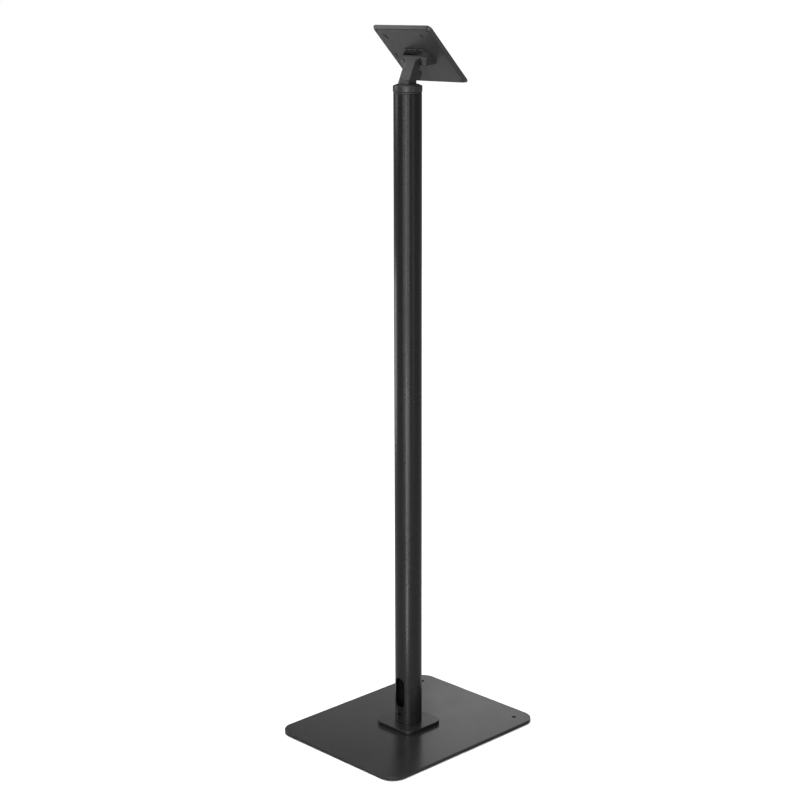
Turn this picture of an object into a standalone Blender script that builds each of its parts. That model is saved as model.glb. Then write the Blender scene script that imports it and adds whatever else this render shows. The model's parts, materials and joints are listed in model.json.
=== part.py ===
"""Floor stand of a touchscreen kiosk: foot plate, column, swivel cap, neck and tilting tray.

Units are metres, +Z is up, the origin is on the floor on the column's axis.
The person who uses the kiosk stands on the -Y side.
"""
import math

import bmesh
import bpy
from mathutils import Matrix, Vector

# ---------------------------------------------------------------- driving dimensions
CLEAR = 0.0003                 # gap between two pieces that touch
WALL_FIT = 0.0003              # radial play of a plug in its tube

PAD_THICK = 0.0015
PAD_RADIUS = 0.011

BASE_WIDTH = 0.308             # along X
BASE_DEPTH = 0.384             # along Y
PAD_X = BASE_WIDTH / 2 - 0.026
PAD_Y = BASE_DEPTH / 2 - 0.062
BASE_THICK = 0.006
BASE_CORNER = 0.030
BASE_EDGE = 0.0008
FLOOR_HOLE_RADIUS = 0.004
FLOOR_HOLE_INSET = 0.031       # from both edges of a user-side corner

FLANGE_SIDE = 0.091
FLANGE_THICK = 0.0065
FLANGE_CORNER = 0.016
FLANGE_EDGE = 0.0015
FLANGE_SCREW_OFFSET = FLANGE_SIDE / 2 - 0.0145
SPIGOT_HEIGHT = 0.0295
SPIGOT_WALL = 0.0057

POLE_RADIUS = 0.025
POLE_WALL = 0.002
POLE_LENGTH = 1.1655
SLOT_WIDTH = 0.022
SLOT_LENGTH = 0.060
SLOT_RISE = 0.0606             # slot centre above the flange
SET_SCREW_RISE = 0.0179        # grub screw above the flange
SET_SCREW_SUNK = 0.0010        # grub screw's end below the column's face

SCREW_M8_RADIUS = 0.004
SCREW_M8_HEAD_RADIUS = 0.008
SCREW_M8_LENGTH = BASE_THICK + FLANGE_THICK - 0.0025
SET_SCREW_LENGTH = 0.008
SCREW_M5_RADIUS = 0.0025
SCREW_M5_HEAD_RADIUS = 0.005
SCREW_M4_RADIUS = 0.002
SCREW_M4_HEAD_RADIUS = 0.0038
SCREW_PLAY = 0.0003
SCREW_RIM = 0.0004             # straight edge of a countersunk head

INSERT_HEIGHT = 0.028
RING_THICK = 0.0028
RING_RADIUS = POLE_RADIUS - 0.0001
SPINDLE_RADIUS = 0.0097
SPINDLE_BORE = 0.0065
SPINDLE_GRIP = 0.0075          # depth of the spindle's thread in the cap
WAVE_THICK = 0.0015
WAVE_RADIUS = 0.016
NUT_THICK = 0.005
NUT_RADIUS = 0.0165            # across the corners

CAP_RADIUS = POLE_RADIUS + 0.0007
CAP_SKIRT = 0.0102
CAP_SLOPE = 0.0033
CAP_TOP_RADIUS = CAP_RADIUS - 0.0077
CAP_BRIM = 0.0006              # rounding of the cap's widest edge

SHEET = 0.003                  # gauge of the neck sheet
NECK_WIDTH = 0.025
NECK_FOOT_Y = 0.0113           # rear face of the neck where it leaves the cap
NECK_LEAN = math.radians(24.0)
NECK_DEPTH = 0.0150            # of the side walls, from the rear face
NECK_HEAD_WIDTH = NECK_WIDTH + 0.017
NECK_HEAD_HEIGHT = 0.006
NECK_FLARE = 0.006             # fillet under the wide head
NECK_WALL_GAP = 0.0054         # side walls stop this far above the cap
TAB_LENGTH = 0.0246
TAB_THICK = NECK_WALL_GAP + 0.0015
CABLE_BORE = 0.0056
NECK_SCREW_X = NECK_WIDTH / 2 - 0.0073
NECK_SCREW_WEB = 0.0015        # cap metal left under a neck screw
COVER_SHEET = 0.002
COVER_DEPTH = 0.0245           # front face of the neck cover, from the rear face
COVER_TOP = 0.0340

HINGE_RISE = 0.0474            # hinge axis along the neck's lean
HINGE_DEPTH = 0.0116           # hinge axis in front of the neck's rear face
HINGE_BOLT_RADIUS = 0.004
HINGE_NOSE_RADIUS = HINGE_DEPTH - SHEET - 0.0006
NECK_TOP = HINGE_RISE + 0.0042   # length of the rear wall along its lean

WASHER_THICK = 0.0020
WASHER_RADIUS = HINGE_DEPTH - SHEET - 0.0005
DISC_THICK = 0.0035
DISC_RADIUS = HINGE_DEPTH - SHEET - 0.0003
SPRING_THICK = 0.0028
SPRING_RADIUS = HINGE_DEPTH - SHEET - 0.0010

CHEEK_THICK = 0.0095
CHEEK_ROUND = 0.0013
CHEEK_BLIND = 0.0030           # wall left outside the bolt in the blind cheek
YOKE_PLATE = 0.0025
YOKE_TOP = 0.0182              # above the tray's centre line
YOKE_BOTTOM = 0.0165
YOKE_FOOT_STEP = 0.0004        # the cheeks stand this far off the plate's seat
HINGE_STANDOFF = 0.0120        # hinge axis behind the tray's back face
HINGE_ABOVE_CENTRE = 0.0010    # hinge axis above the tray's centre

TRAY_LEAN = math.radians(45.0)   # between the tray's face and the upright
TRAY_WIDTH = 0.1414
TRAY_HEIGHT = 0.1375
TRAY_THICK = 0.0058
TRAY_BEVEL = 0.0043
TRAY_CORNER = 0.0085
SLOT_BREADTH = 0.0046          # of the tray's two upper slots
UPPER_SLOT_TURN = math.radians(29.0)   # from the upright
UPPER_SLOTS = ((0.0475, 0.0455, 0.0149), (-0.0410, 0.0475, 0.0100))   # across, up, length
HOOK_SLOT_X = 0.055
HOOK_SLOT_LENGTH = 0.0115
HOOK_SLOT_BREADTH = 0.00345
CORNER_HOLE_INSET = 0.0087
CORNER_HOLE_RADIUS = 0.0018
TRAY_SCREW_UP = 0.006
TRAY_SCREW_DOWN = 0.009
TRAY_SCREW_LENGTH = 0.011      # less than the yoke is thick behind the tray
STOP_SCREW_RADIUS = 0.0030
STOP_SCREW_HEIGHT = 0.0035
STOP_SCREW_X = -0.008
STOP_SCREW_UP = 0.0149

FINE = 64                      # sides of the column and the cap
ROUND = 32                     # sides of small round pieces
HOLE = 24                      # sides of small holes

# ---------------------------------------------------------------- worked-out places
base_bottom = PAD_THICK + CLEAR
base_top = base_bottom + BASE_THICK
flange_bottom = base_top + CLEAR
flange_top = flange_bottom + FLANGE_THICK
pole_bottom = flange_top + CLEAR
pole_top = pole_bottom + POLE_LENGTH
pole_inner = POLE_RADIUS - POLE_WALL
spigot_radius = pole_inner - WALL_FIT
spigot_bore = spigot_radius - SPIGOT_WALL
slot_z = flange_top + SLOT_RISE
set_screw_z = flange_top + SET_SCREW_RISE
ring_bottom = pole_top + CLEAR
ring_top = ring_bottom + RING_THICK
cap_bottom = ring_top + CLEAR
cap_shoulder = cap_bottom + CAP_SKIRT
cap_top = cap_shoulder + CAP_SLOPE
insert_top = pole_top
insert_bottom = insert_top - INSERT_HEIGHT
wave_bottom = insert_bottom - CLEAR - WAVE_THICK
nut_bottom = wave_bottom - CLEAR - NUT_THICK
neck_bottom = cap_top + CLEAR
socket_top = cap_bottom + SPINDLE_GRIP
tab_top = neck_bottom + TAB_THICK
neck_screw_length = tab_top - socket_top - NECK_SCREW_WEB

neck_frame = (Matrix.Translation((0.0, NECK_FOOT_Y, neck_bottom))
              @ Matrix.Rotation(NECK_LEAN, 4, "X"))
hinge_point = neck_frame @ Vector((0.0, -HINGE_DEPTH, HINGE_RISE))
tray_tilt = Matrix.Rotation(-TRAY_LEAN, 4, "X")
# In the tray's own frame +Y points out of its back and +Z points up its slope.
tray_frame = (Matrix.Translation(hinge_point) @ tray_tilt
              @ Matrix.Translation((0.0, -HINGE_STANDOFF, -HINGE_ABOVE_CENTRE)))
cheek_inner = NECK_HEAD_WIDTH / 2 + 0.001
cheek_outer = cheek_inner + CHEEK_THICK
tray_screw_x = (cheek_inner + cheek_outer) / 2

# ---------------------------------------------------------------- materials
COLOURS = {
    "black_coat": ((0.030, 0.030, 0.030), 0.42, 0.0),
    "black_satin": ((0.022, 0.022, 0.022), 0.35, 0.0),
    "steel": ((0.42, 0.42, 0.43), 0.35, 1.0),
    "dark_steel": ((0.06, 0.06, 0.062), 0.40, 1.0),
    "aluminium": ((0.60, 0.60, 0.61), 0.40, 1.0),
    "rubber": ((0.02, 0.02, 0.02), 0.85, 0.0),
    "nylon": ((0.045, 0.045, 0.045), 0.55, 0.0),
}


def clear_scene():
    """Remove whatever the file holds before the model is made."""
    for obj in list(bpy.data.objects):
        bpy.data.objects.remove(obj, do_unlink=True)


def make_materials():
    """One Principled material for each finish."""
    made = {}
    for name, (colour, roughness, metallic) in COLOURS.items():
        material = bpy.data.materials.new(name)
        material.use_nodes = True
        shader = material.node_tree.nodes["Principled BSDF"]
        shader.inputs["Base Color"].default_value = (*colour, 1.0)
        shader.inputs["Roughness"].default_value = roughness
        shader.inputs["Metallic"].default_value = metallic
        made[name] = material
    return made


def add_object(name, bm, finish=None, frame=None, smooth=True):
    """Turn a bmesh into an object, shaded and with its material."""
    bmesh.ops.recalc_face_normals(bm, faces=bm.faces[:])
    mesh = bpy.data.meshes.new(name)
    bm.to_mesh(mesh)
    bm.free()
    if smooth:
        mesh.shade_smooth()
        mesh.set_sharp_from_angle(angle=math.radians(30.0))
    obj = bpy.data.objects.new(name, mesh)
    bpy.context.scene.collection.objects.link(obj)
    if finish:
        obj.data.materials.append(materials[finish])
    if frame is not None:
        obj.matrix_world = frame
    return obj


def prism_mesh(outline, low, high, axis="Z"):
    """Closed prism over an outline; axis is the direction that it is extruded in."""
    order = {"X": (2, 0, 1), "Y": (0, 2, 1), "Z": (0, 1, 2)}[axis]
    bm = bmesh.new()
    lower, upper = [], []
    for a, b in outline:
        for ring, end in ((lower, low), (upper, high)):
            ring.append(bm.verts.new([(a, b, end)[k] for k in order]))
    bm.faces.new(lower)
    bm.faces.new(upper)
    count = len(outline)
    for i in range(count):
        j = (i + 1) % count
        bm.faces.new((lower[i], lower[j], upper[j], upper[i]))
    return bm


def turned_mesh(profile, sides):
    """Closed ring turned about Z from a closed profile of (radius, height) points off the axis."""
    bm = bmesh.new()
    rings = []
    for k in range(sides):
        angle = 2 * math.pi * k / sides
        ring = [bm.verts.new((r * math.cos(angle), r * math.sin(angle), z)) for r, z in profile]
        rings.append(ring)
    count = len(profile)
    for k in range(sides):
        this, following = rings[k], rings[(k + 1) % sides]
        for i in range(count):
            j = (i + 1) % count
            bm.faces.new((this[i], this[j], following[j], following[i]))
    return bm


def solid_of_revolution(profile, sides):
    """Closed solid turned about Z; the profile runs from its bottom to its top, without the axis."""
    bm = bmesh.new()
    rings = []
    for r, z in profile:
        ring = [bm.verts.new((r * math.cos(a), r * math.sin(a), z))
                for a in (2 * math.pi * k / sides for k in range(sides))]
        rings.append(ring)
    bm.faces.new(rings[0])
    bm.faces.new(rings[-1])
    for lower, upper in zip(rings, rings[1:]):
        for k in range(sides):
            j = (k + 1) % sides
            bm.faces.new((lower[k], lower[j], upper[j], upper[k]))
    return bm


def rounded_rectangle(width, depth, radius, steps=8):
    """Outline of a rectangle with round corners, centred on the origin."""
    points = []
    centres = ((1, 1), (-1, 1), (-1, -1), (1, -1))
    for quarter, (sx, sy) in enumerate(centres):
        cx = sx * (width / 2 - radius)
        cy = sy * (depth / 2 - radius)
        for k in range(steps + 1):
            angle = math.pi / 2 * (quarter + k / steps)
            points.append((cx + radius * math.cos(angle), cy + radius * math.sin(angle)))
    return points


def obround(length, width, steps=10):
    """Outline of a slot along the second axis, with round ends."""
    radius = width / 2
    straight = length / 2 - radius
    points = []
    for k in range(steps + 1):
        angle = math.pi * k / steps
        points.append((radius * math.cos(angle), straight + radius * math.sin(angle)))
    for k in range(steps + 1):
        angle = math.pi * (1 + k / steps)
        points.append((radius * math.cos(angle), -straight + radius * math.sin(angle)))
    return points


def circle(radius, sides=HOLE):
    """Outline of a round hole."""
    return [(radius * math.cos(2 * math.pi * k / sides), radius * math.sin(2 * math.pi * k / sides))
            for k in range(sides)]


def shifted(outline, across, along, angle=0.0):
    """An outline turned and moved in its own plane."""
    c, s = math.cos(angle), math.sin(angle)
    return [(across + c * a - s * b, along + s * a + c * b) for a, b in outline]


def cutter(name, bm, frame=None):
    """A guide shape that Booleans use and that is not part of the model."""
    obj = add_object(name, bm, frame=frame, smooth=False)
    obj.hide_render = True
    obj.display_type = "WIRE"
    return obj


def boolean(obj, operation, other):
    """Add an exact Boolean of obj with a guide shape."""
    modifier = obj.modifiers.new(other.name, "BOOLEAN")
    modifier.operation = operation
    modifier.solver = "EXACT"
    modifier.object = other


def cut(obj, name, bm, frame=None):
    """Take a shape out of obj."""
    boolean(obj, "DIFFERENCE", cutter("cut_" + name, bm, frame))


def join(obj, name, bm, frame=None):
    """Add a shape to obj as one body."""
    boolean(obj, "UNION", cutter("add_" + name, bm, frame))


def soften(obj, width, segments=1, angle=math.radians(40.0)):
    """Break the sharp edges of obj."""
    modifier = obj.modifiers.new("edge_break", "BEVEL")
    modifier.width = width
    modifier.segments = segments
    modifier.limit_method = "ANGLE"
    modifier.angle_limit = angle


def facing(direction, place):
    """Frame whose +Z points along a direction."""
    turn = Vector((0.0, 0.0, 1.0)).rotation_difference(Vector(direction)).to_matrix().to_4x4()
    return Matrix.Translation(place) @ turn


def loft_mesh(sections):
    """Closed body through outlines of equal count, each given with its place along Y."""
    bm = bmesh.new()
    loops = [[bm.verts.new((a, y, b)) for a, b in outline] for outline, y in sections]
    bm.faces.new(loops[0])
    bm.faces.new(loops[-1])
    for lower, upper in zip(loops, loops[1:]):
        for i in range(len(lower)):
            j = (i + 1) % len(lower)
            bm.faces.new((lower[i], lower[j], upper[j], upper[i]))
    return bm


def countersunk_screw(name, radius, head_radius, length, frame, finish):
    """Flush screw: its head's top is at the frame's origin and its shank runs to -Z."""
    cone = head_radius - radius
    profile = [(radius * 0.8, -length), (radius, -length + radius * 0.2),
               (radius, -SCREW_RIM - cone), (head_radius, -SCREW_RIM), (head_radius, 0.0)]
    obj = add_object(name, solid_of_revolution(profile, HOLE), finish, frame)
    socket_depth = cone * 0.6
    cut(obj, name + "_socket", prism_mesh(circle(radius * 0.6, 6), -socket_depth, 0.001), frame)
    return obj


def screw_hole(radius, head_radius, length):
    """Cutter for a countersunk screw, with play all round."""
    cone = head_radius - radius
    play = SCREW_PLAY
    profile = [(radius + play, -length - play), (radius + play, -SCREW_RIM - cone - play),
               (head_radius + play, -SCREW_RIM - play), (head_radius + play, 0.002)]
    return solid_of_revolution(profile, HOLE)


# ---------------------------------------------------------------- foot
def corner_signs():
    """The four corners, in order."""
    return ((1, 1), (-1, 1), (-1, -1), (1, -1))


def flange_screw_frame(sx, sy):
    """A foot screw's frame: head in the plate's underside, shank up into the flange."""
    place = (sx * FLANGE_SCREW_OFFSET, sy * FLANGE_SCREW_OFFSET, base_bottom + CLEAR)
    return Matrix.Translation(place) @ Matrix.Rotation(math.pi, 4, "X")


def make_base_plate():
    """Flat foot plate with its fixing holes and the flange's screw holes."""
    outline = rounded_rectangle(BASE_WIDTH, BASE_DEPTH, BASE_CORNER, steps=10)
    plate = add_object("base_plate", prism_mesh(outline, base_bottom, base_top), "black_coat")
    for sx in (-1, 1):
        x = sx * (BASE_WIDTH / 2 - FLOOR_HOLE_INSET)
        y = -(BASE_DEPTH / 2 - FLOOR_HOLE_INSET)
        hole = prism_mesh(shifted(circle(FLOOR_HOLE_RADIUS), x, y), -0.01, base_top + 0.01)
        cut(plate, f"floor_hole_{sx}", hole)
    for index, (sx, sy) in enumerate(corner_signs(), 1):
        hole = screw_hole(SCREW_M8_RADIUS, SCREW_M8_HEAD_RADIUS, SCREW_M8_LENGTH)
        cut(plate, f"base_screw_hole_{index}", hole, flange_screw_frame(sx, sy))
    soften(plate, BASE_EDGE)
    return plate


def make_foot_pads():
    """Thin rubber pads under the plate."""
    for index, (sx, sy) in enumerate(corner_signs(), 1):
        disc = prism_mesh(shifted(circle(PAD_RADIUS, ROUND), sx * PAD_X, sy * PAD_Y), 0.0, PAD_THICK)
        add_object(f"foot_pad_{index}", disc, "rubber")


def make_foot_flange():
    """Square flange with the hollow spigot that the column slides over."""
    outline = rounded_rectangle(FLANGE_SIDE, FLANGE_SIDE, FLANGE_CORNER, steps=6)
    flange = add_object("foot_flange", prism_mesh(outline, flange_bottom, flange_top), "black_coat")
    soften(flange, FLANGE_EDGE, segments=2)
    spigot_top = flange_top + SPIGOT_HEIGHT
    spigot_root = (flange_bottom + flange_top) / 2
    join(flange, "spigot", prism_mesh(circle(spigot_radius, FINE), spigot_root, spigot_top))
    bore = prism_mesh(circle(spigot_bore, ROUND), flange_bottom - 0.001, spigot_top + 0.001)
    cut(flange, "spigot_bore", bore)
    for index, (sx, sy) in enumerate(corner_signs(), 1):
        hole = screw_hole(SCREW_M8_RADIUS, SCREW_M8_HEAD_RADIUS, SCREW_M8_LENGTH)
        cut(flange, f"flange_screw_hole_{index}", hole, flange_screw_frame(sx, sy))
    cut(flange, "spigot_thread", set_screw_bore(), facing((0, 1, 0), (0, 0, set_screw_z)))
    return flange


def make_flange_screws():
    """Countersunk screws that hold the flange to the plate from below."""
    for index, (sx, sy) in enumerate(corner_signs(), 1):
        frame = flange_screw_frame(sx, sy)
        countersunk_screw(f"flange_screw_{index}", SCREW_M8_RADIUS, SCREW_M8_HEAD_RADIUS,
                          SCREW_M8_LENGTH, frame, "steel")


# ---------------------------------------------------------------- column
def set_screw_bore():
    """Cutter for the grub screw, from inside the spigot's wall outwards."""
    return prism_mesh(circle(SCREW_M8_RADIUS + SCREW_PLAY), spigot_bore - 0.004, POLE_RADIUS + 0.004)


def make_pole_tube():
    """Column: a round tube with the cable slot and the grub screw's hole at the rear."""
    profile = [(pole_inner, pole_bottom), (POLE_RADIUS, pole_bottom), (POLE_RADIUS, pole_top),
               (pole_inner, pole_top)]
    pole = add_object("pole_tube", turned_mesh(profile, FINE), "black_satin")
    rear = facing((0, 1, 0), (0, 0, slot_z))
    slot = prism_mesh(obround(SLOT_LENGTH, SLOT_WIDTH), spigot_bore, POLE_RADIUS + 0.005)
    cut(pole, "cable_slot", slot, rear)
    cut(pole, "pole_screw_hole", set_screw_bore(), facing((0, 1, 0), (0, 0, set_screw_z)))
    return pole


def make_set_screw():
    """Grub screw, flush with the column."""
    outer = POLE_RADIUS - SET_SCREW_SUNK
    tip = outer - SET_SCREW_LENGTH
    radius = SCREW_M8_RADIUS
    frame = facing((0, 1, 0), (0, 0, set_screw_z))
    profile = [(radius * 0.7, tip), (radius, tip + radius * 0.3), (radius, outer)]
    screw = add_object("pole_set_screw", solid_of_revolution(profile, HOLE), "dark_steel", frame)
    socket = prism_mesh(circle(radius * 0.57, 6), outer - 0.0035, outer + 0.001)
    cut(screw, "set_screw_socket", socket, frame)


def make_top_insert():
    """Plug in the column's top that the swivel turns in."""
    bore = SPINDLE_RADIUS + WALL_FIT
    outer = pole_inner - WALL_FIT
    profile = [(bore, insert_bottom), (outer, insert_bottom), (outer, insert_top), (bore, insert_top)]
    add_object("top_insert", turned_mesh(profile, FINE), "aluminium")


def make_swivel_ring():
    """Thrust ring between the column and the cap."""
    bore = SPINDLE_RADIUS + WALL_FIT
    profile = [(bore, ring_bottom), (RING_RADIUS, ring_bottom), (RING_RADIUS, ring_top), (bore, ring_top)]
    add_object("swivel_ring", turned_mesh(profile, FINE), "nylon")


# ---------------------------------------------------------------- swivel head
def make_swivel_cap():
    """Turned cap with a sloping shoulder, a socket for the spindle and a cable bore."""
    socket = SPINDLE_RADIUS + WALL_FIT
    profile = [(CABLE_BORE, socket_top), (socket, socket_top), (socket, cap_bottom)]
    profile += [(CAP_RADIUS - 0.0006, cap_bottom), (CAP_RADIUS, cap_bottom + 0.0006)]
    profile += [(CAP_RADIUS, cap_shoulder - CAP_BRIM), (CAP_RADIUS - CAP_BRIM / 2, cap_shoulder),
                (CAP_RADIUS - 2 * CAP_BRIM, cap_shoulder + CAP_BRIM), (CAP_TOP_RADIUS, cap_top)]
    profile.append((CABLE_BORE, cap_top))
    cap = add_object("swivel_cap", turned_mesh(profile, FINE), "black_coat")
    for index, frame in enumerate(neck_screw_frames(), 1):
        hole = screw_hole(SCREW_M4_RADIUS, SCREW_M4_HEAD_RADIUS, neck_screw_length)
        cut(cap, f"cap_thread_{index}", hole, frame)
    return cap


def make_spindle():
    """Hollow spindle, its wave washer and its ring nut."""
    top = socket_top - CLEAR
    bottom = nut_bottom - 0.001
    profile = [(SPINDLE_BORE, bottom), (SPINDLE_RADIUS, bottom), (SPINDLE_RADIUS, top),
               (SPINDLE_BORE, top)]
    add_object("swivel_spindle", turned_mesh(profile, ROUND), "steel")
    bore = SPINDLE_RADIUS + WALL_FIT
    wave_top = wave_bottom + WAVE_THICK
    profile = [(bore, wave_bottom), (WAVE_RADIUS, wave_bottom), (WAVE_RADIUS, wave_top), (bore, wave_top)]
    add_object("spindle_washer", turned_mesh(profile, ROUND), "steel")
    nut_top = nut_bottom + NUT_THICK
    nut = add_object("spindle_nut", prism_mesh(circle(NUT_RADIUS, 6), nut_bottom, nut_top), "steel")
    cut(nut, "nut_bore", prism_mesh(circle(bore, ROUND), nut_bottom - 0.001, nut_top + 0.001))


def neck_screw_frames():
    """Frames of the two countersunk screws in the neck's foot block, heads up."""
    y = NECK_FOOT_Y - TAB_LENGTH + SCREW_M4_HEAD_RADIUS + SCREW_PLAY * 2
    return [Matrix.Translation((sx * NECK_SCREW_X, y, tab_top)) for sx in (-1, 1)]


def neck_wall_outline():
    """Side view of a neck wall in the neck's frame: (along -Y, along Z), with a nose round the hinge."""
    rise = NECK_WALL_GAP / math.cos(NECK_LEAN)
    slope = math.tan(NECK_LEAN)
    nose = []
    for k in range(8):
        angle = math.radians(-60 + 15 * k)
        nose.append((-HINGE_DEPTH - HINGE_NOSE_RADIUS * math.cos(angle),
                     HINGE_RISE + HINGE_NOSE_RADIUS * math.sin(angle)))
    return ([(0.0, rise), (-NECK_DEPTH, rise + NECK_DEPTH * slope), (-NECK_DEPTH, HINGE_RISE - 0.013)]
            + nose + [(-HINGE_DEPTH + 0.004, NECK_TOP - 0.0015), (0.0, NECK_TOP - 0.0015)])


def make_neck_bracket():
    """Neck: foot block, leaning rear wall with a wide head, and two side walls."""
    half = NECK_WIDTH / 2
    head = NECK_HEAD_WIDTH / 2
    head_low = NECK_TOP - NECK_HEAD_HEIGHT
    flare = [(half + NECK_FLARE * (1 - math.cos(a)), head_low - NECK_FLARE * (1 - math.sin(a)))
             for a in (math.radians(15 * k) for k in range(7))]
    right = [(half, -0.0005)] + flare + [(head, head_low), (head, NECK_TOP)]
    left = [(-x, z) for x, z in reversed(right)]
    rear = add_object("neck_bracket", prism_mesh(right + left, -SHEET, 0.0, "Y"), "black_coat", neck_frame)
    for sx in (-1, 1):
        inner, outer = sorted((sx * half, sx * (half - SHEET)))
        join(rear, f"neck_wall_{sx}", prism_mesh(neck_wall_outline(), inner, outer, "X"), neck_frame)
    tab = rounded_rectangle(NECK_WIDTH - 2 * COVER_SHEET - 2 * CLEAR, TAB_LENGTH, 0.003, steps=3)
    tab = shifted(tab, 0.0, NECK_FOOT_Y - TAB_LENGTH / 2)
    join(rear, "neck_tab", prism_mesh(tab, neck_bottom, tab_top))
    below = prism_mesh(rounded_rectangle(0.08, 0.08, 0.01, steps=2), neck_bottom - 0.02, neck_bottom)
    cut(rear, "neck_foot_plane", below)
    bore = prism_mesh(circle(CABLE_BORE), neck_bottom - 0.01, tab_top + 0.003)
    cut(rear, "neck_cable_bore", bore)
    for index, frame in enumerate(neck_screw_frames(), 1):
        hole = screw_hole(SCREW_M4_RADIUS, SCREW_M4_HEAD_RADIUS, neck_screw_length)
        cut(rear, f"neck_screw_hole_{index}", hole, frame)
    axle = prism_mesh(circle(HINGE_BOLT_RADIUS + SCREW_PLAY, ROUND), -0.05, 0.05)
    cut(rear, "neck_axle_hole", axle, facing((1, 0, 0), hinge_point))
    return rear


def make_neck_cover():
    """Front half of the neck channel, clipped between the side walls."""
    half = NECK_WIDTH / 2
    slope = math.tan(NECK_LEAN)
    low = NECK_WALL_GAP / math.cos(NECK_LEAN)
    front = COVER_DEPTH
    rear_edge = NECK_DEPTH + CLEAR
    outline = [(-rear_edge, low + rear_edge * slope), (-front, low + front * slope),
               (-front, COVER_TOP - 0.004), (-front + 0.004, COVER_TOP), (-rear_edge, COVER_TOP - 0.004)]
    cover = add_object("neck_cover", prism_mesh(outline, -half, half, "X"), "black_coat", neck_frame)
    inside = rounded_rectangle(NECK_WIDTH - 2 * COVER_SHEET, 2 * (front - COVER_SHEET), 0.002, steps=2)
    cut(cover, "cover_hollow", prism_mesh(inside, -0.02, COVER_TOP + 0.02), neck_frame)
    return cover


def make_neck_screws():
    """Countersunk screws through the neck's foot block into the cap."""
    for index, frame in enumerate(neck_screw_frames(), 1):
        inset = frame @ Matrix.Translation((0.0, 0.0, -CLEAR))
        countersunk_screw(f"neck_screw_{index}", SCREW_M4_RADIUS, SCREW_M4_HEAD_RADIUS,
                          neck_screw_length - CLEAR, inset, "steel")


# ---------------------------------------------------------------- friction hinge
def hinge_ring(name, radius, near, thick, finish, sides=ROUND, dish=0.0):
    """Washers on both sides of the neck, near being the distance of their inner face."""
    bore = HINGE_BOLT_RADIUS + SCREW_PLAY
    for side, sx in (("left", 1), ("right", -1)):
        profile = [(bore, near + dish), (radius, near), (radius, near + thick - dish), (bore, near + thick)]
        frame = facing((sx, 0, 0), hinge_point)
        add_object(f"{name}_{side}", turned_mesh(profile, sides), finish, frame)


def make_friction_stack():
    """Washer, disc and dished spring on each side of the neck."""
    washer_near = NECK_WIDTH / 2 + CLEAR
    disc_near = washer_near + WASHER_THICK + CLEAR
    spring_near = disc_near + DISC_THICK + CLEAR
    hinge_ring("inner_washer", WASHER_RADIUS, washer_near, WASHER_THICK, "nylon")
    hinge_ring("friction_disc", DISC_RADIUS, disc_near, DISC_THICK, "dark_steel")
    spring_room = cheek_inner - CLEAR - spring_near
    hinge_ring("spring_disc", SPRING_RADIUS, spring_near, min(SPRING_THICK, spring_room), "dark_steel")


def tilt_bolt_reach():
    """Ends of the hinge axle along X: flush in the open cheek, short of the blind one's face."""
    return -(cheek_outer - CHEEK_BLIND), cheek_outer - 0.0006


def make_tilt_bolt():
    """Hinge axle: a headless bolt through the neck into the blind cheek."""
    low, high = tilt_bolt_reach()
    frame = facing((1, 0, 0), hinge_point)
    chamfer = 0.0006
    profile = [(HINGE_BOLT_RADIUS - chamfer, low), (HINGE_BOLT_RADIUS, low + chamfer),
               (HINGE_BOLT_RADIUS, high - chamfer), (HINGE_BOLT_RADIUS - chamfer, high)]
    bolt = add_object("tilt_bolt", solid_of_revolution(profile, ROUND), "dark_steel", frame)
    cut(bolt, "bolt_socket", prism_mesh(circle(0.0023, 6), high - 0.004, high + 0.001), frame)


# ---------------------------------------------------------------- yoke and tray
def cheek_outlines():
    """Inner and outer side views of a cheek in the tray's frame: (out of its back, up its slope)."""
    foot = CLEAR + YOKE_FOOT_STEP
    axle = HINGE_STANDOFF
    inner = [(foot, 0.0150), (axle + 0.0025, 0.0130), (axle + 0.0055, 0.0050), (axle + 0.0110, -0.0025),
             (axle + 0.0040, -0.0080), (0.0020, -0.0175), (foot, -0.0175)]
    outer = [(foot, 0.0075), (axle - 0.0010, 0.0065), (axle + 0.0035, 0.0050), (axle + 0.0110, -0.0017),
             (axle + 0.0035, -0.0070), (0.0018, -0.0170), (foot, -0.0170)]
    return inner, outer


def cheek_mesh(sx):
    """Thick cheek on one side, its top falling away outwards."""
    inner, outer = cheek_outlines()
    bm = bmesh.new()
    loops = [[bm.verts.new((sx * x, a, b)) for a, b in outline]
             for outline, x in ((inner, cheek_inner), (outer, cheek_outer))]
    bm.faces.new(loops[0])
    bm.faces.new(loops[1])
    count = len(inner)
    for i in range(count):
        j = (i + 1) % count
        bm.faces.new((loops[0][i], loops[0][j], loops[1][j], loops[1][i]))
    return bm


def make_yoke():
    """Cast yoke: a plate on the tray's back and two thick cheeks that hold the axle."""
    plate = rounded_rectangle(2 * cheek_inner + 0.004, YOKE_TOP + YOKE_BOTTOM, 0.003, steps=2)
    plate = shifted(plate, 0.0, (YOKE_TOP - YOKE_BOTTOM) / 2)
    body = prism_mesh(plate, CLEAR, CLEAR + YOKE_PLATE, "Y")
    yoke = add_object("tilt_yoke", body, "black_coat", tray_frame)
    for side, sx in (("left", 1), ("right", -1)):
        cheek = cutter(f"add_cheek_{side}", cheek_mesh(sx), tray_frame)
        round_outer_edges(cheek, sx)
        boolean(yoke, "UNION", cheek)
    low, high = tilt_bolt_reach()
    shaft = prism_mesh(circle(HINGE_BOLT_RADIUS + SCREW_PLAY, ROUND), low - CLEAR, high + 0.005)
    cut(yoke, "yoke_axle_bore", shaft, facing((1, 0, 0), hinge_point))
    for index, frame in enumerate(tray_screw_frames(), 1):
        hole = screw_hole(SCREW_M5_RADIUS, SCREW_M5_HEAD_RADIUS, TRAY_SCREW_LENGTH)
        cut(yoke, f"yoke_thread_{index}", hole, frame)
    return yoke


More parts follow.
